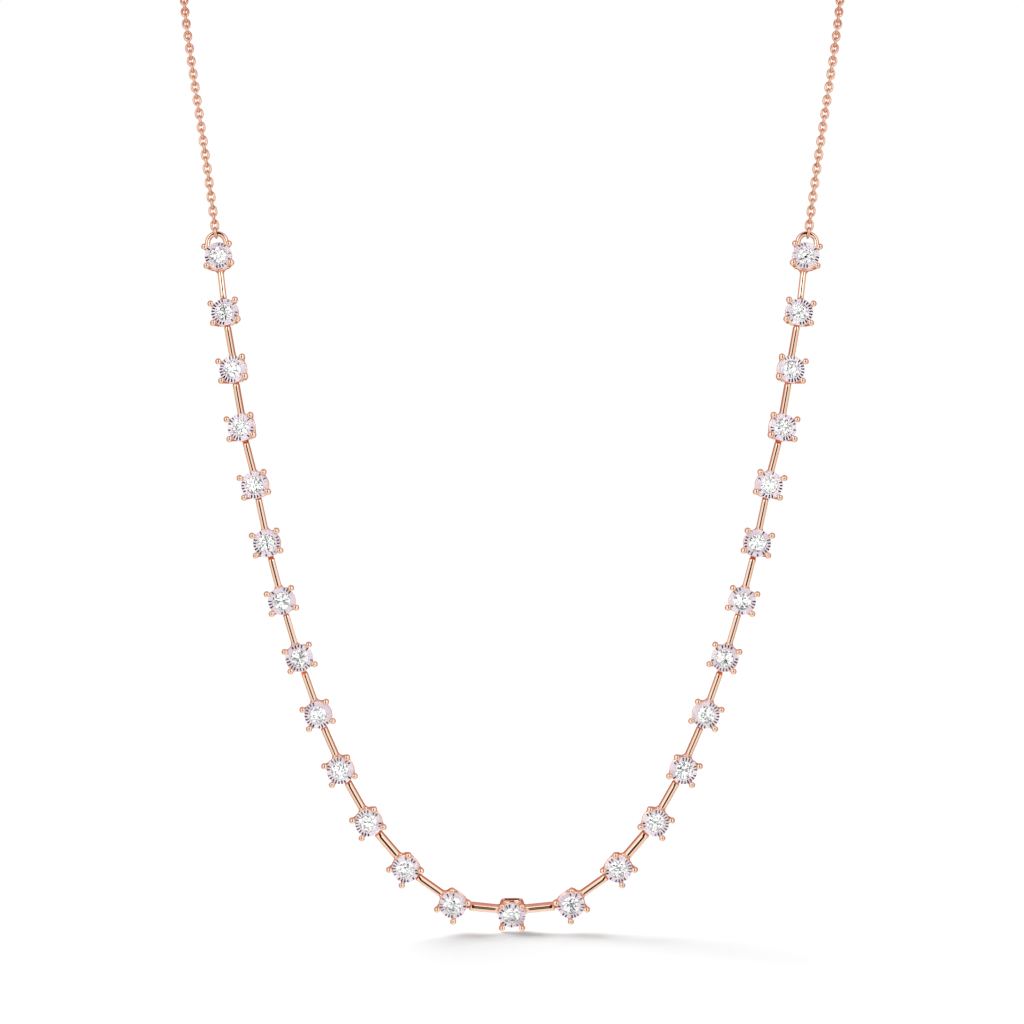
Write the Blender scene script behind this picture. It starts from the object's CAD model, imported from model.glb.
"""Looks of the riviere necklace: settings, discs, stones, cable chain, floor, light and camera."""
import math

import bpy
import numpy as np
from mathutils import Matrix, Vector


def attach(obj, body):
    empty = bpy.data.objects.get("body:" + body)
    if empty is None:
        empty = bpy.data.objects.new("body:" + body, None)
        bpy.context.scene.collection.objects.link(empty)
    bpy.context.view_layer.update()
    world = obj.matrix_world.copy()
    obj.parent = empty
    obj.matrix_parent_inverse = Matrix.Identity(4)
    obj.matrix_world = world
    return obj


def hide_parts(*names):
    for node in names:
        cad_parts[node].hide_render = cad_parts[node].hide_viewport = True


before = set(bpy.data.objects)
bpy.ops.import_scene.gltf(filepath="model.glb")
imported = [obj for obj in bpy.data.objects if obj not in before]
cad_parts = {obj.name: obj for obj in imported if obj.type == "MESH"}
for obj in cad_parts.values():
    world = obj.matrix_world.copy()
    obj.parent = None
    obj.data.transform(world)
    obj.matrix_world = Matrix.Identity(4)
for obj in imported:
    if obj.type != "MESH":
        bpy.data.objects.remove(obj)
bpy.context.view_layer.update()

MM = 0.001
FRONT = (0, -1, 0)

# The sizes of part.scad, in millimetres and degrees
pitch = 8.7
stone_d, crown_h, pavilion_h, girdle_t = 2.56, 0.36, 1.08, 0.06
plate_d, plate_t = 4.0, 0.32
claw_d, claw_angle = 0.56, 51.0
gallery_wire, base_wire, base_l, base_w = 0.42, 0.48, 3.0, 2.8
bar_w, bar_h, fillet_r = 0.92, 1.3, 0.9
eye_w, eye_wall = 0.8, 0.17
first_eye_w, first_neck, neck_share = 0.56, 0.65, 0.74
bail_w, bail_wire, bail_rise = 2.72, 0.78, 0.45
clasp_d, loop_wire, loop_d = 4.4, 0.58, 1.64
seat_gap, hook_gap, bite = 0.07, 0.16, 0.06
drop, reach, rise_pull, nape_pull = 150.5, 56.5, 56.0, 63.5
nape_way = (1, -0.33, 0.15)
flutes = 24

# Each bar of the right side, from the middle up: its heading, its lean and the twist of its setting
hang = [
    (9, -1, 23),
    (37.5, -3, 10),
    (51.5, -4, 10),
    (62, -3, 8),
    (68, -2, 8),
    (71, 0, 3),
    (73, 2, -8),
    (75.5, 3, -2),
    (78.5, 4, 2),
    (76.5, 5, 7),
    (81, 7, 11),
    (80.5, 9, 9),
    (82, 11, 2),
]
end_twist = -2
side = len(hang)
last = side - 1

stone_r, plate_r = stone_d / 2, plate_d / 2
claw_r = plate_r + seat_gap + claw_d / 2
eye_hole_r = gallery_wire / 2 + hook_gap
eye_r = eye_hole_r + eye_wall
gallery_drop = plate_t + 2 * seat_gap + eye_r
base_drop = gallery_drop + eye_r + hook_gap + base_wire / 2
bar_drop = base_drop + base_wire / 2 - bar_h / 2
claw_u = claw_r * math.cos(math.radians(claw_angle))
claw_v = claw_r * math.sin(math.radians(claw_angle))
base_u, base_v = base_l / 2, base_w / 2
knee_drop = plate_t + seat_gap
lean_in = (gallery_drop - knee_drop) / (base_drop - knee_drop)
wire_u = claw_u + (base_u - claw_u) * lean_in
wire_v = claw_v + (base_v - claw_v) * lean_in
gallery_r = math.hypot(wire_u, wire_v) - claw_d / 2 - gallery_wire / 2 + bite
bail_r, loop_r, clasp_r = bail_w / 2, loop_d / 2, clasp_d / 2

# Sizes of the real cable chain, which the CAD model holds as a tube
link_pitch, link_long, link_wide, link_wire = 1.12, 1.88, 1.33, 0.375

# Faces that meet at less than this angle, in degrees, are shaded as one
setting_crease, chain_crease = 50, 60


def unit(v):
    v = np.asarray(v, float)
    return v / np.linalg.norm(v)


def flat_on(v, n):
    """The part of v at right angles to n, brought to length 1."""
    v = np.asarray(v, float)
    return unit(v - np.dot(v, n) * n)


def bar_dir(k):
    """Way of bar k of the right side, away from the middle of the necklace."""
    heading, lean = math.radians(hang[k][0]), math.radians(hang[k][1])
    level = math.cos(lean)
    return np.array([level * math.cos(heading), math.sin(lean), level * math.sin(heading)])


seats = [np.array([0.0, -reach, -drop])]
for k in range(side):
    seats.append(seats[-1] + pitch * bar_dir(k))


def along(k):
    """Long axis of setting k. The one with no bar of its own lies between the two that hook into it."""
    if k == 0:
        return np.array([1.0, 0, 0])
    if k < last:
        return bar_dir(k)
    if k == last:
        return unit(bar_dir(k - 1) + bar_dir(k))
    return bar_dir(last)


def facing(k):
    """The way that the stone of setting k faces."""
    twist = math.radians(hang[k][2] if k < side else end_twist)
    a = along(k)
    n = flat_on(FRONT, a)
    return n * math.cos(twist) + np.cross(a, n) * math.sin(twist)


def at_plate(k):
    """Origin and axes of setting k: along its bar, across it, and out of the face of its stone."""
    a, n = along(k), facing(k)
    return seats[k] + gallery_drop * n, np.array([a, np.cross(n, a), n])


def circle(n, turn=0.0):
    t = turn + np.arange(n) * 2 * math.pi / n
    return np.stack([np.cos(t), np.sin(t)], 1)


# Meshes

# More stretches than any path has
NEVER = 10 ** 6


class Shape:
    """Closed shells in one mesh, in millimetres. tones holds 0 or 1 a face, for its material."""

    def __init__(self):
        self.points, self.faces, self.tones, self.count = [], [], [], 0

    def add(self, points, faces, tones):
        points = np.asarray(points, float).reshape(-1, 3)
        self.points.append(points)
        self.faces += [tuple(self.count + i for i in f) for f in faces]
        self.tones += tones
        self.count += len(points)

    def rings(self, rings, closed=False, deep_from=NEVER):
        """A skin over rings of points. It joins the last ring to the first, or else gets two caps."""
        rings = np.asarray(rings, float)
        m, n = rings.shape[:2]
        faces, tones = [], []
        for i in range(m if closed else m - 1):
            a, b = i * n, (i + 1) % m * n
            for j in range(n):
                k = (j + 1) % n
                faces.append((a + j, a + k, b + k, b + j))
                tones.append(int(i >= deep_from))
        if not closed:
            faces.append(tuple(range(n - 1, -1, -1)))
            faces.append(tuple((m - 1) * n + j for j in range(n)))
            tones += [int(deep_from <= 0), int(deep_from < m)]
        self.add(rings, faces, tones)

    def sweep(self, path, across, sections, closed=False, deep_from=NEVER):
        """A section carried along a path. across is the way its first axis points. From the stretch
        deep_from on, the faces take the second material."""
        path = np.asarray(path, float)
        if closed:
            ways = np.roll(path, -1, 0) - np.roll(path, 1, 0)
        else:
            ways = np.gradient(path, axis=0)
        rings = []
        for p, t, u, s in zip(path, ways, across, sections):
            t = unit(t)
            u = flat_on(u, t)
            v = np.cross(t, u)
            rings.append(p + s[:, :1] * u + s[:, 1:] * v)
        self.rings(rings, closed, deep_from)

    def placed(self, origin, axes):
        """The same shape moved from a local frame into the necklace."""
        moved = Shape()
        moved.points = [origin + p @ axes for p in self.points]
        moved.faces, moved.tones, moved.count = list(self.faces), list(self.tones), self.count
        return moved

    def join(self, other):
        self.points += other.points
        self.faces += [tuple(self.count + i for i in f) for f in other.faces]
        self.tones += other.tones
        self.count += other.count

    def mirrored(self):
        """The same shape on the left side."""
        other = Shape()
        other.points = [p * (-1, 1, 1) for p in self.points]
        other.faces = [tuple(reversed(f)) for f in self.faces]
        other.tones, other.count = list(self.tones), self.count
        return other

    def piece(self, name, materials, slot, nodes, smooth_below=None):
        """Make the object. Without smooth_below all its faces are flat."""
        mesh = bpy.data.meshes.new(name)
        mesh.from_pydata((np.concatenate(self.points) * MM).tolist(), [], self.faces)
        mesh.polygons.foreach_set("use_smooth", [smooth_below is not None] * len(mesh.polygons))
        mesh.update()
        if smooth_below is not None:
            mesh.set_sharp_from_angle(angle=math.radians(smooth_below))
        for material in materials:
            mesh.materials.append(material)
        mesh.polygons.foreach_set("material_index", self.tones)
        obj = bpy.data.objects.new(name, mesh)
        bpy.context.scene.collection.objects.link(obj)
        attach(obj, "root")
        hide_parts(*nodes)
        # The stones don't refract the gold, so they stay bright
        obj.visible_transmission = slot != "rose_gold"


# Materials

# Places of the two colours in and of the colour out of a Mix node
MIX_ONE, MIX_TWO, MIX_OUT = 6, 7, 2


class Graph:
    """The nodes of a material or of the world, and short ways to add more."""

    def __init__(self, owner):
        owner.use_nodes = True
        self.nodes, self.links = owner.node_tree.nodes, owner.node_tree.links

    def feed(self, socket, value):
        """Give a socket a number, a colour or the output of another node."""
        if isinstance(value, tuple):
            socket.default_value = (*value, 1)
        elif isinstance(value, (int, float)):
            socket.default_value = value
        else:
            self.links.new(value, socket)

    def add(self, kind, **inputs):
        node = self.nodes.new("ShaderNode" + kind)
        for name, value in inputs.items():
            self.feed(node.inputs[name.replace("_", " ")], value)
        return node

    def calc(self, kind, *values):
        node = self.add("Math")
        node.operation = kind
        for socket, value in zip(node.inputs, values):
            self.feed(socket, value)
        return node.outputs[0]

    def noise(self, place, scale, detail=2.0):
        return self.add("TexNoise", Vector=place, Scale=scale, Detail=detail).outputs["Fac"]

    def ramp(self, value, stops, kind="LINEAR"):
        node = self.add("ValToRGB", Fac=value)
        node.color_ramp.interpolation = kind
        while len(node.color_ramp.elements) < len(stops):
            node.color_ramp.elements.new(0.5)
        for element, (position, colour) in zip(node.color_ramp.elements, stops):
            element.position, element.color = position, (*colour, 1)
        return node.outputs["Color"]

    def blend(self, amount, one, two):
        """one where amount is 0, and two where it is 1."""
        node = self.add("Mix")
        node.data_type = "RGBA"
        self.feed(node.inputs["Factor"], amount)
        self.feed(node.inputs[MIX_ONE], one)
        self.feed(node.inputs[MIX_TWO], two)
        return node.outputs[MIX_OUT]

    def between(self, value, none, full):
        """0 up to none, 1 from full on, and smooth between. full may be the lower of the two."""
        node = self.add("MapRange", Value=value, From_Min=none, From_Max=full)
        node.interpolation_type = "SMOOTHSTEP"
        return node.outputs[0]

    def band(self, value, below, low, high, above):
        """1 from low to high, and 0 up to below and from above on."""
        return self.calc("MULTIPLY", self.between(value, below, low), self.between(value, above, high))


def material(name):
    m = bpy.data.materials.new(name)
    g = Graph(m)
    return m, g, g.nodes["Principled BSDF"].inputs


# Scale of the polishing marks, and their depth in metres
mark_scale, mark_depth = 2600.0, 0.00001
# How much smoother and rougher than usual a polished surface gets
smoothest, roughest = 0.7, 1.4
# How far a side has to face away from the middle before it takes its outer tone, and takes all of it
outer_none, outer_full = -0.25, 0.6


def metal(name, deep, pale, rough, scratch, outer=None, metallic=1.0, cloud=(420.0, 3.0), edges=(0.35, 0.65)):
    """Metal with clouds of a deep and a pale tone and fine polishing marks. cloud holds their scale and
    detail, edges the noise levels of the two tones. The sides that face away from the middle of the
    necklace can take a tone of their own, outer."""
    m, g, surface = material(name)
    place = g.add("TexCoord").outputs["Object"]
    tone = g.ramp(g.noise(place, *cloud), [(edges[0], deep), (edges[1], pale)])
    if outer:
        spot = g.add("SeparateXYZ", Vector=place)
        normal = g.add("SeparateXYZ", Vector=g.add("NewGeometry").outputs["Normal"])
        away = g.calc("MULTIPLY", g.calc("SIGN", spot.outputs["X"]), normal.outputs["X"])
        tone = g.blend(g.between(away, outer_none, outer_full), tone, outer)
    marks = g.noise(place, mark_scale)
    spread = g.add("MapRange", Value=marks, To_Min=rough * smoothest, To_Max=rough * roughest)
    bump = g.add("Bump", Strength=scratch, Distance=mark_depth, Height=marks)
    g.feed(surface["Metallic"], metallic)
    g.feed(surface["Base Color"], tone)
    g.feed(surface["Roughness"], spread.outputs["Result"])
    g.feed(surface["Normal"], bump.outputs["Normal"])
    return m


rose_gold = metal("rose_gold_polished", (0.97, 0.73, 0.58), (0.99, 0.77, 0.62),
                  rough=0.07, scratch=0.06, outer=(0.88, 0.58, 0.38))
deep_gold = metal("rose_gold_in_the_hooks", (0.66, 0.17, 0.07), (0.88, 0.3, 0.13),
                  rough=0.3, scratch=0.06, metallic=0.6)
golds = [rose_gold, deep_gold]
chain_gold = metal("rose_gold_drawn", (0.87, 0.54, 0.37), (0.91, 0.61, 0.43), rough=0.09, scratch=0.06)
white_gold = metal("white_gold_bright_cut", (0.9, 0.78, 0.87), (1.0, 0.93, 0.97),
                   rough=0.42, scratch=0.05, metallic=0.4)
# The shaded flanks of the cuts: nearly black, and pale in some patches
cut_white_gold = metal("white_gold_deep_cut", (0.02, 0.006, 0.025), (0.7, 0.5, 0.68),
                       rough=0.25, scratch=0.05, cloud=(1500.0, 1.0), edges=(0.6, 0.74))

diamond, graph, surface = material("diamond_cut")
tint_scale = 700.0
tint = graph.noise(graph.add("TexCoord").outputs["Object"], tint_scale)
graph.feed(surface["Base Color"], graph.ramp(tint, [(0.0, (0.965, 0.97, 0.98)), (1.0, (1.0, 1.0, 1.0))]))
graph.feed(surface["Roughness"], 0.0)
graph.feed(surface["IOR"], 2.417)
graph.feed(surface["Transmission Weight"], 1.0)


# Settings

# Leg of a claw: share of the way from its foot to its knee, and half width there
LEG = [(0, 0.02), (0.03, 0.2), (0.12, 0.29), (0.5, 0.27), (0.85, 0.272)]
# Claw from its knee to its toe: radius, height, half width across and half width along
CLAW = [
    (2.35, -0.39, 0.275, 0.275),
    (2.35, -0.14, 0.28, 0.28),
    (2.37, 0.02, 0.34, 0.34),
    (2.39, 0.16, 0.42, 0.41),
    (2.37, 0.31, 0.455, 0.43),
    (2.28, 0.42, 0.435, 0.4),
    (2.16, 0.46, 0.38, 0.34),
    (2.04, 0.445, 0.31, 0.26),
    (1.935, 0.4, 0.23, 0.18),
    (1.86, 0.355, 0.14, 0.11),
    (1.83, 0.33, 0.02, 0.02),
]
claw_steps, claw_sides = 30, 16
# How far the foot of a claw stands inside the corner of the base, and below its middle
foot_in, foot_down = 0.17, 0.06
ring_steps, ring_sides = 56, 12
corner_steps, base_sides = 8, 14
# How much larger than drawn the base is each way, and the radius of its corners
base_out, usual_corner = 0.03, 0.85
# The middle base has squarer corners, and reaches this much further up and down
middle_corner, middle_rise = 0.55, 0.2


def spline(rows, n):
    """n rows on a smooth curve through the given ones."""
    rows = np.asarray(rows, float)
    p = np.concatenate([[2 * rows[0] - rows[1]], rows, [2 * rows[-1] - rows[-2]]])
    out = []
    for x in np.linspace(0, len(rows) - 1, n):
        i = min(int(x), len(rows) - 2)
        t = x - i
        a, b, c, d = p[i:i + 4]
        out.append(0.5 * (2 * b + (c - a) * t + (2 * a - 5 * b + 4 * c - d) * t * t
                          + (3 * b - a - 3 * c + d) * t ** 3))
    return np.array(out)


def setting(corner, rise):
    """Four claws, the gallery ring and the square base, in the frame of the plate."""
    s = Shape()
    rows = spline(CLAW, claw_steps)
    rim = circle(claw_sides)
    for su, sv in ((1, 1), (1, -1), (-1, -1), (-1, 1)):
        d = np.array([su * claw_u, sv * claw_v]) / claw_r
        knee = np.array([su * claw_u, sv * claw_v, -knee_drop])
        foot = np.array([su * (base_u - foot_in), sv * (base_v + rise - foot_in), -base_drop - foot_down])
        path = [foot + (knee - foot) * x for x, _ in LEG]
        sizes = [(w, w) for _, w in LEG]
        path += [(r * d[0], r * d[1], z) for r, z, _, _ in rows]
        sizes += [(a, b) for _, _, a, b in rows]
        s.sweep(path, [(-d[1], d[0], 0)] * len(path), [rim * v for v in sizes])
    ring = circle(ring_steps)
    path = [(gallery_r * x, gallery_r * y, -gallery_drop) for x, y in ring]
    wire = circle(ring_sides) * gallery_wire / 2
    s.sweep(path, [(x, y, 0) for x, y in ring], [wire] * ring_steps, closed=True)
    path = []
    for quarter, (su, sv) in enumerate(((1, 1), (-1, 1), (-1, -1), (1, -1))):
        for i in range(corner_steps + 1):
            t = math.radians(quarter * 90 + i * 90 / corner_steps)
            path.append((su * (base_u + base_out - corner) + corner * math.cos(t),
                         sv * (base_v + rise + base_out - corner) + corner * math.sin(t), -base_drop))
    path = np.array(path)
    wire = circle(base_sides) * base_wire / 2
    s.sweep(path, path * (1, 1, 0), [wire] * len(path), closed=True)
    return s


# Radius of the crowned front and back of a bar, and how much further than drawn its flanks stand out
crown_r, flank_out = 0.66, 0.01
bar_sides, fillet_steps, bar_steps = 48, 16, 8
eye_steps, eye_sides = 28, 16
# Powers of the round edges of a section: a higher one gives sharper edges
sharp_edge, soft_edge = 14.0, 5.0
# Half the height of the slab in a fillet, as a share of the bar's height
slab_share = 0.36
# How far the hooked end of a bar slants, and how far it stays from the middle of the gallery wire
usual_slant, usual_neck = 0.06, 0.3
# The bars that slant more than that, which also stay clear of the wire as far as drawn
slants = {5: 0.2, 7: 0.2, 9: 0.16}
# Rows of the slanted end as shares of the slant, and how much narrower and lower the bar gets there
end_shares, end_narrower, end_lower = (0.06, 0.5, 1), 0.06, 1.5
# How far inside its bar the slender neck of a first bar starts
neck_root = 0.6
# How wide each bar looks in the photograph, as a share of the drawn width
worn = (1.13, 1.05, 1.24, 1.09, 0.98, 0.97, 0.94, 1.0, 0.95, 0.92, 0.92, 0.91, 0.95)


def section_angles(n):
    """n angles round a section, none of them on its axes."""
    return (np.arange(n) + 0.5) * 2 * math.pi / n


def box_section(t, flank, face, power):
    """Points at the angles t of a box with round edges. flank and face are the distances to its sides."""
    r = (flank ** -power + face ** -power) ** (-1 / power)
    return np.stack([r * np.cos(t), r * np.sin(t)], 1)


def bar_section():
    """Section of a bar: flat flanks, crowned front and back, and hardly rounded edges between them."""
    t = section_angles(bar_sides)
    c, d = np.abs(np.cos(t)), np.abs(np.sin(t))
    lift = crown_r - bar_h / 2
    crown = np.sqrt(crown_r ** 2 - (lift * c) ** 2) - lift * d
    return box_section(t, (bar_w / 2 + flank_out) / c, crown, sharp_edge)


def slab_section(half, half_height, n):
    """Section of a slab with round edges, half wide to each side."""
    t = section_angles(n)
    return box_section(t, half / np.abs(np.cos(t)), half_height / np.abs(np.sin(t)), soft_edge)


def bar(k, j, way):
    """Bar from the base of setting k to the gallery ring of setting j, with its fillet and its eye."""
    s = Shape()
    n_k, n_j = facing(k), facing(j)
    start = base_u - base_wire / 4
    root = seats[k] + (gallery_drop - bar_drop) * n_k + way * start
    hold = seats[j] + gallery_r * flat_on(-way, n_j)
    run = unit(hold - root)
    eye_wide = first_eye_w if k == 0 else eye_w
    if k == 0:
        neck = first_neck
    elif k in slants:
        neck = eye_hole_r + bite
    else:
        neck = usual_neck
    length = np.linalg.norm(hold - root) - neck
    across = np.cross(flat_on(n_k, run), run)
    slim = bar_section() * (worn[min(k, j)], 1)
    full = slab_section(bar_w / 2 + fillet_r, bar_h * slab_share, bar_sides)
    end = base_u + base_wire / 2 + fillet_r - start
    slant = slants.get(k, usual_slant)
    path, sections = [], []
    for x in [*np.linspace(0, end, fillet_steps), *np.linspace(end, length - slant, bar_steps)[1:]]:
        gap = min(max(end - x, 0), fillet_r)
        w = (fillet_r - math.sqrt(fillet_r ** 2 - gap ** 2)) / fillet_r
        path.append(root + run * x)
        sections.append(slim * (1 - w) + full * w)
    for share in end_shares:
        path.append(root + run * (length - slant * (1 - share)))
        sections.append(slim * (1 - end_narrower * share, 1 - end_lower * slant * share / bar_h))
    s.sweep(path, [across] * len(path), sections, deep_from=len(path) - len(end_shares))
    if k == 0:
        slender = bar_section() / (bar_w, bar_h) * (eye_wide - bite, 2 * eye_r * neck_share)
        stops = (length - neck_root, length, length + neck - eye_hole_r - bite)
        path = [root + run * x for x in stops]
        s.sweep(path, [across] * len(path), [slender] * len(path), deep_from=0)
    inward = flat_on(way, n_j)
    ring = [inward * x + n_j * y for x, y in circle(eye_steps)]
    path = [hold + (eye_r + eye_hole_r) / 2 * p for p in ring]
    section = slab_section(eye_wall / 2, eye_wide / 2, eye_sides)
    s.sweep(path, ring, [section] * eye_steps, closed=True, deep_from=0)
    return s


bail_steps, bail_sides = 28, 16
# Straight foot of each leg of the bail
bail_foot = 0.3


def bail():
    """Arch on an end setting, in the frame of the plate."""
    s = Shape()
    leg = math.sqrt(gallery_r ** 2 - bail_r ** 2)
    middle = gallery_r + bail_rise
    path = [(leg, -bail_r), (leg + bail_foot, -bail_r)]
    for t in np.linspace(-math.pi / 2, math.pi / 2, bail_steps):
        path.append((middle + bail_r * math.cos(t), bail_r * math.sin(t)))
    path += [(leg + bail_foot, bail_r), (leg, bail_r)]
    path = [(x, y, -gallery_drop) for x, y in path]
    s.sweep(path, [(0, 0, 1)] * len(path), [circle(bail_sides) * bail_wire / 2] * len(path))
    return s


centre = setting(middle_corner, middle_rise).placed(*at_plate(0))
arm = bar(0, 1, bar_dir(0))
centre.join(arm)
centre.join(arm.mirrored())
centre.piece("setting_centre", golds, "rose_gold", ["link_centre"], setting_crease)

usual = setting(usual_corner, 0.0)
for k in range(1, side + 1):
    link = usual.placed(*at_plate(k))
    if k < last:
        link.join(bar(k, k + 1, bar_dir(k)))
    if k == side:
        link.join(bar(side, last, -bar_dir(last)))
        link.join(bail().placed(*at_plate(k)))
    link.piece(f"setting_right_{k}", golds, "rose_gold", [f"link_right_{k}"], setting_crease)
    link.mirrored().piece(f"setting_left_{k}", golds, "rose_gold", [f"link_left_{k}"], setting_crease)


# Discs and stones

# Rings of a disc, over its top from the stone to the rim and back under it: radius, height, depth of cuts
PLATE = [
    (stone_r - 0.05, -0.24, 0),
    (stone_r + 0.02, 0.035, 0),
    (stone_r + 0.05, 0.06, 0),
    (stone_r + 0.13, 0.055, 0.02),
    (1.55, 0.04, 0.1),
    (1.84, 0.015, 0.13),
    (1.95, -0.01, 0.1),
    (plate_r, -0.06, 0.08),
    (plate_r, -plate_t - 0.04, 0),
    (plate_r - 0.1, -plate_t - 0.08, 0),
    (stone_r - 0.05, -plate_t - 0.08, 0),
]
# Each flute has a flat, a steep flank and a wide flank. Where they start, and how much each start is cut
FLUTE_SHARES = np.array([0.0, 0.45, 0.64])
FLUTE_CUTS = [0.0, 0.0, 1.0]
WIDE_FLANK = 2
# Where on its flute a wide flank counts as being
wide_flank_at = 0.86
# Rows of faces, counted from the stone, that a long and a short deep flank cover
LONG, SHORT = slice(3, 6), slice(4, 6)
# Chance of a long deep flank, and what facing outwards and a near claw add to it
usual_chance, outer_chance, claw_chance = 0.3, 0.3, 0.3
# Chance of a short deep flank where there is no long one
short_chance = 0.4
# How near a claw counts, in the cosine of the angle
claw_near = 0.3
# Discs with fewer deep flanks, and the share of the chance that they keep
paler_discs, paler_share = (9, 10), 0.6
cut_seed = 40


def plate():
    """Disc with cuts that run from the stone to the rim."""
    s = Shape()
    n = len(FLUTE_SHARES) * flutes
    t = ((np.arange(flutes)[:, None] + FLUTE_SHARES) * 2 * math.pi / flutes).ravel()
    groove = np.tile(FLUTE_CUTS, flutes)
    rows = [np.stack([r * np.cos(t), r * np.sin(t), top - cut * groove], 1) for r, top, cut in PLATE]
    faces, m = [], len(rows)
    for i in range(m):
        a, b = i * n, (i + 1) % m * n
        for j in range(n):
            k = (j + 1) % n
            faces.append((a + j, b + j, b + k, a + k))
    s.add(np.array(rows), faces, [0] * len(faces))
    return s


def bright_cuts(k):
    """Which wide flanks of disc k are deep: more of them on the outer side and near the claws."""
    rng = np.random.default_rng(cut_seed + k)
    along_it, across_it, _ = at_plate(k)[1]
    tones = np.zeros((len(PLATE), flutes, len(FLUTE_SHARES)), int)
    for f in range(flutes):
        t = (f + wide_flank_at) * 2 * math.pi / flutes
        outwards = (math.cos(t) * along_it + math.sin(t) * across_it)[0]
        to_claw = abs(abs(math.cos(t)) - math.cos(math.radians(claw_angle)))
        chance = usual_chance + outer_chance * outwards + claw_chance * max(0.0, 1 - to_claw / claw_near)
        if k in paler_discs:
            chance *= paler_share
        if rng.random() < chance:
            tones[LONG, f, WIDE_FLANK] = 1
        elif rng.random() < short_chance:
            tones[SHORT, f, WIDE_FLANK] = 1
    return tones.ravel().tolist()


# Radii of a brilliant's table, star points and lower halves, as shares of its own
table_share, star_share, lower_share = 0.56, 0.79, 0.3


def level_ring(n, r, z, turn=0.0):
    return np.c_[circle(n, turn) * r, np.full(n, z)]


def brilliant():
    """Round brilliant: table, 8 stars, 8 kites, 16 upper and 16 lower halves, 8 mains. Its points are 8 of
    the table, 8 of the stars, 16 above and 16 below the girdle, 8 of the lower halves, and the culet."""
    g = girdle_t / 2
    table_r, star_r, lower_r = stone_r * table_share, stone_r * star_share, stone_r * lower_share
    step = math.pi / 8
    half = math.cos(step)
    star_z = g + crown_h - (star_r * half - table_r) * crown_h / (stone_r - table_r)
    lower_z = -g - pavilion_h + lower_r * half * pavilion_h / stone_r
    points = np.concatenate([
        level_ring(8, table_r, g + crown_h),
        level_ring(8, star_r, star_z, step),
        level_ring(16, stone_r, g),
        level_ring(16, stone_r, -g),
        level_ring(8, lower_r, lower_z, step),
        [[0, 0, -g - pavilion_h]],
    ])
    faces = [tuple(range(8))]
    for i in range(8):
        before, after = (i + 7) % 8, (i + 1) % 8
        faces += [
            (8 + i, after, i),
            (8 + before, 16 + 2 * i, 8 + i, i),
            (16 + 2 * i, 17 + 2 * i, 8 + i),
            (17 + 2 * i, 16 + 2 * after, 8 + i),
            (33 + 2 * i, 32 + 2 * i, 48 + i),
            (32 + 2 * after, 33 + 2 * i, 48 + i),
            (48 + i, 32 + 2 * i, 48 + before, 56),
        ]
    faces += [(32 + i, 32 + (i + 1) % 16, 16 + (i + 1) % 16, 16 + i) for i in range(16)]
    s = Shape()
    s.add(points, faces, [0] * len(faces))
    return s


def at_every_plate(one, tones=None):
    """The same shape in all 27 settings. tones gives the materials of the faces of each."""
    all_of_them = Shape()
    for k in range(side + 1):
        here = one.placed(*at_plate(k))
        if tones:
            here.tones = tones(k)
        all_of_them.join(here)
        if k:
            all_of_them.join(here.mirrored())
    return all_of_them


discs = at_every_plate(plate(), bright_cuts)
discs.piece("fluted_discs", [white_gold, cut_white_gold], "white_gold", ["illusion_plates"])
at_every_plate(brilliant()).piece("brilliants", [diamond], "diamond", ["diamonds"])


# Cable chain

route_steps = 2001
# How far the chain runs on past its last drawn point, into the ring at the nape
into_ring = 0.3

arch_top = gallery_r + bail_rise + bail_r
chain_start = seats[side] + along(side) * (arch_top + bail_wire / 2 + 2 * seat_gap)
nape_end = np.array([clasp_r + 2 * loop_r + loop_wire / 2 + 3 * seat_gap, 0, 0])
rise_end = chain_start + rise_pull * along(side)
nape_turn = nape_end + nape_pull * unit(nape_way)
t = np.linspace(0, 1, route_steps)[:, None]
curve = ((1 - t) ** 3 * chain_start + 3 * t * (1 - t) ** 2 * rise_end
         + 3 * t * t * (1 - t) * nape_turn + t ** 3 * nape_end)
first = seats[side] + along(side) * (arch_top - bail_wire / 2 - link_wire + link_long / 2)
beyond = nape_end + unit(curve[-1] - curve[-2]) * into_ring
curve = np.concatenate([[first], curve, [beyond]])
lengths = np.concatenate([[0], np.cumsum(np.linalg.norm(np.diff(curve, axis=0), axis=1))])
count = round(lengths[-1] / link_pitch) + 1

link_steps, link_sides = 24, 9
# Power of a link's oval: below 1 it has flatter sides than an ellipse
oval_power = 0.88
# Over how much of the chain, each way, the direction of a link is taken
way_reach = 0.3
# How far from the bail the chain hangs without a twist, and how unevenly its links turn, in degrees
plain_length, uneven = 45, 2.5
chain_seed = 7


def on_curve(x):
    """The point of the chain's middle line at the length x."""
    return np.array([np.interp(x, lengths, curve[:, i]) for i in range(3)])


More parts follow.
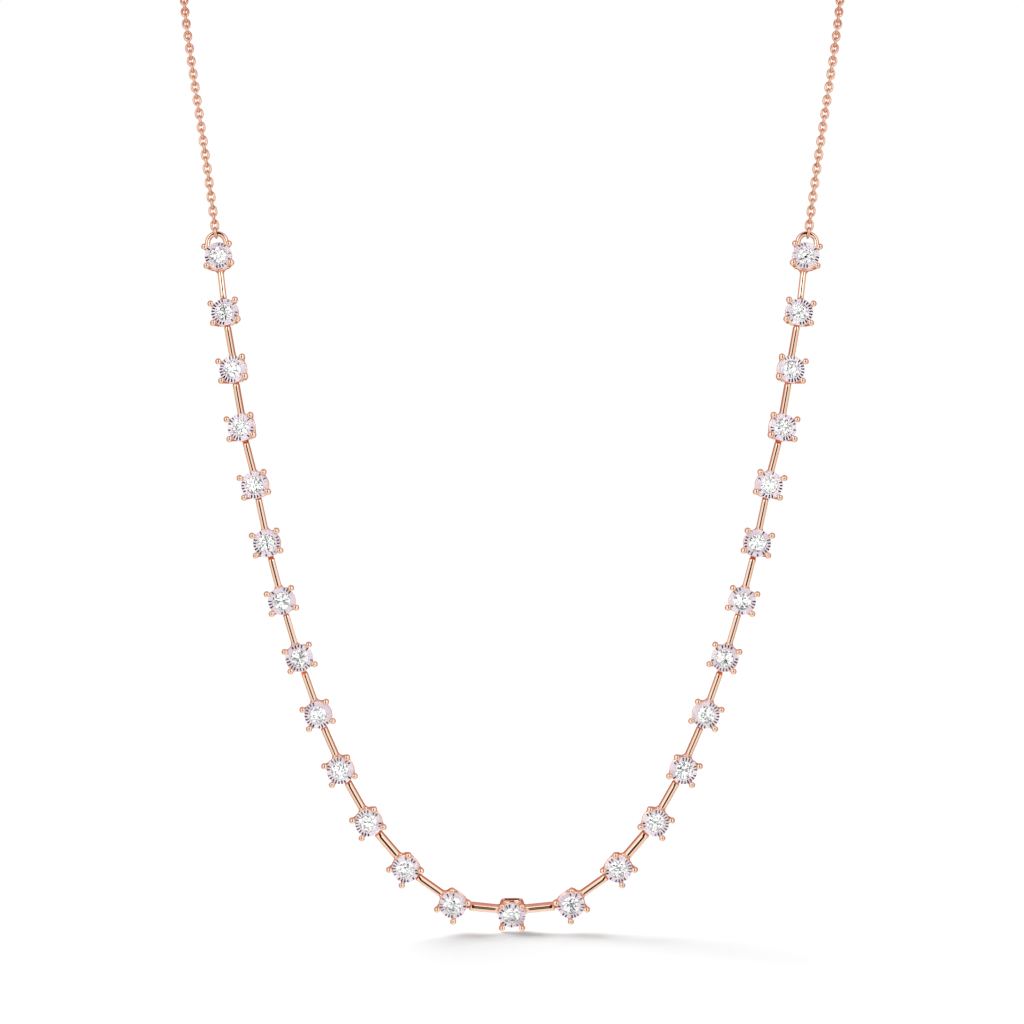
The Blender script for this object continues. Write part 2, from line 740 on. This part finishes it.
def chain(turn_at_nape):
    """Oval links, each turned a quarter from the last. Past plain_length the chain twists evenly, until
    it has turned by turn_at_nape degrees at the nape."""
    s = Shape()
    ring = circle(link_steps)
    half = ((link_long - link_wire) / 2, (link_wide - link_wire) / 2)
    oval = np.sign(ring) * np.abs(ring) ** oval_power * half
    wire = circle(link_sides) * link_wire / 2
    rng = np.random.default_rng(chain_seed)
    for i in range(count):
        x = lengths[-1] * i / (count - 1)
        way = unit(on_curve(min(x + way_reach, lengths[-1])) - on_curve(max(x - way_reach, 0)))
        front = flat_on(FRONT, way)
        hidden = max(0.0, (x - plain_length) / (lengths[-1] - plain_length))
        turn = math.radians(90 * ((i + 1) % 2) + turn_at_nape * hidden + rng.normal(0, uneven))
        normal = front * math.cos(turn) + np.cross(way, front) * math.sin(turn)
        across = np.cross(normal, way)
        path = on_curve(x) + oval[:, :1] * way + oval[:, 1:] * across
        s.sweep(path, ring[:, :1] * way + ring[:, 1:] * across, [wire] * link_steps, closed=True)
    return s


chain(0).piece("cable_chain_right", [chain_gold], "rose_gold", ["chain_right"], chain_crease)
chain(90).mirrored().piece("cable_chain_left", [chain_gold], "rose_gold", ["chain_left"], chain_crease)

for name in ("spring_ring", "end_ring"):
    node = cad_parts[name]
    for slot in node.material_slots:
        slot.material = rose_gold


# Floor, light and camera

scene = bpy.context.scene
scene.view_settings.view_transform = "Standard"
scene.view_settings.look = "None"

# Height of the floor in millimetres, and its half width, front and back edge in metres
floor_z = -153.25
floor_side, floor_front, floor_back = 3, -3, 5

corners = [
    (-floor_side, floor_front),
    (floor_side, floor_front),
    (floor_side, floor_back),
    (-floor_side, floor_back),
]
mesh = bpy.data.meshes.new("floor")
mesh.from_pydata([(x, y, floor_z * MM) for x, y in corners], [], [(0, 1, 2, 3)])
floor = bpy.data.objects.new("floor", mesh)
scene.collection.objects.link(floor)
floor.visible_glossy = False
floor.visible_transmission = False
pale, graph, surface = material("pale_floor")
graph.feed(surface["Base Color"], (0.9, 0.9, 0.9))
graph.feed(surface["Roughness"], 0.9)
graph.feed(surface["Specular IOR Level"], 0.0)
mesh.materials.append(pale)

WHITE, WARM, ROSY, DEEP = (1.1, 1.16, 1.2), (0.97, 0.95, 0.92), (0.74, 0.42, 0.41), (0.5, 0.2, 0.13)
BROWN, DARK, LAMP = (0.3, 0.14, 0.12), (0.035, 0.01, 0.012), (2.4, 2.6, 2.8)
MATT_SEES, CAMERA_SEES = (0.3, 0.3, 0.3), (1.0, 1.0, 1.0)
# Tones of the walls by the share of the way from straight in front, where the camera is, to straight behind
WALLS = [(0.0, WHITE), (0.15, WHITE), (0.21, WARM), (0.45, WARM), (0.51, ROSY), (0.6, ROSY), (0.72, DEEP)]
# Tones of the fields that the stones refract. A quarter are nearly black, half are brighter than white
SPARKLE = [
    (0.0, (0.01, 0.015, 0.01)),
    (0.24, (0.36, 0.38, 0.37)),
    (0.38, (0.85, 0.87, 0.86)),
    (0.52, (1.5, 1.52, 1.5)),
]
field_scale = 8.0
# Where the parts of the mirrored room end and start, in degrees of height over the horizon
CEILING, GROUND = (42, 60), (-34, -50)
LAMP_HEIGHT, STRIP_HEIGHT = (18, 24, 50, 56), (-52, -44, 80, 89)
SLIM_BELOW, NOTCH = (-12, -18), (-42, -38, -29, -25)
# The same in degrees of turn away from the front
LAMP_TURN, BROWN_TURN, DARK_TURN = (20, 26, 38, 46), (21, 16), (17, 14)
# How many degrees slimmer to each side the dark strip is where it is slim
strip_slimmer = 5


def mirrored_room(g, way):
    """What the metal mirrors: walls that get rosier towards the back, a lamp to each side, and a dark
    strip in front."""
    x, y, z = g.add("SeparateXYZ", Vector=way).outputs
    from_front = g.calc("ARCTAN2", g.calc("ABSOLUTE", x), g.calc("MULTIPLY", y, -1))
    turn = g.calc("MULTIPLY", from_front, 180 / math.pi)
    height = g.calc("MULTIPLY", g.calc("ARCSINE", z), 180 / math.pi)
    seen = g.ramp(g.calc("DIVIDE", turn, 180), WALLS)
    seen = g.blend(g.between(height, *CEILING), seen, ROSY)
    seen = g.blend(g.between(height, *GROUND), seen, WARM)
    lamp = g.calc("MULTIPLY", g.band(turn, *LAMP_TURN), g.band(height, *LAMP_HEIGHT))
    seen = g.blend(lamp, seen, LAMP)
    # Below the horizon the strip is slim, but for a notch where it keeps its width
    not_in_notch = g.calc("SUBTRACT", 1, g.band(height, *NOTCH))
    slimmer = g.calc("MULTIPLY", g.between(height, *SLIM_BELOW), not_in_notch)
    strip_turn = g.calc("ADD", turn, g.calc("MULTIPLY", slimmer, strip_slimmer))
    strip = g.band(height, *STRIP_HEIGHT)
    seen = g.blend(g.calc("MULTIPLY", g.between(strip_turn, *BROWN_TURN), strip), seen, BROWN)
    return g.blend(g.calc("MULTIPLY", g.between(strip_turn, *DARK_TURN), strip), seen, DARK)


def refracted_room(g, way):
    """What the stones refract: fields of a few even tones."""
    cells = g.add("TexVoronoi", Vector=way, Scale=field_scale)
    shade = g.add("SeparateColor", Color=cells.outputs["Color"]).outputs[0]
    return g.ramp(shade, SPARKLE, "CONSTANT")


world = bpy.data.worlds.new("studio")
scene.world = world
graph = Graph(world)
graph.nodes.clear()
way = graph.add("TexCoord").outputs["Generated"]
ray = graph.add("LightPath").outputs
seen = graph.blend(ray["Is Transmission Ray"], mirrored_room(graph, way), refracted_room(graph, way))
seen = graph.blend(ray["Is Diffuse Ray"], seen, MATT_SEES)
seen = graph.blend(ray["Is Camera Ray"], seen, CAMERA_SEES)
studio = graph.add("Background", Color=seen)
graph.add("OutputWorld", Surface=studio.outputs[0])


def sun(name, energy, angle, aim, in_stones=True):
    """A soft sun, angle degrees wide, that shines the way aim. The metal doesn't mirror it."""
    data = bpy.data.lights.new(name, "SUN")
    data.energy = energy
    data.angle = math.radians(angle)
    obj = bpy.data.objects.new(name, data)
    obj.rotation_mode = "QUATERNION"
    obj.rotation_quaternion = Vector(aim).to_track_quat("-Z", "Y")
    obj.visible_glossy = False
    obj.visible_transmission = in_stones
    scene.collection.objects.link(obj)


sun("key_low", energy=3.1, angle=46, aim=(0.62, -0.56, -0.46))
sun("key_high", energy=2.7, angle=52, aim=(0.4, -1.1, -0.56))
# A level light from the front for the discs. The floor gets very little of it, mirrors and stones none.
sun("front", energy=2.0, angle=30, aim=(0, 1, 0), in_stones=False)

film_w, image_px = 36.0, 1024
# A pixel is this many millimetres wide at this distance from the camera
pixel_w, pixel_at = 0.1452, 400.0
# Where the camera stands: in front of the middle stone and above it
eye_back, eye_up = 404, 58.74

lens_data = bpy.data.cameras.new("camera")
lens_data.sensor_width = film_w
lens_data.lens = film_w * (pixel_at / pixel_w) / image_px
lens_data.clip_start = 0.01
lens_data.clip_end = 20.0
lens_data.dof.use_dof = False
camera = bpy.data.objects.new("camera", lens_data)
camera.location = (0, (-reach - eye_back) * MM, (eye_up - drop) * MM)
camera.rotation_euler = (math.pi / 2, 0, 0)
scene.collection.objects.link(camera)
scene.camera = camera
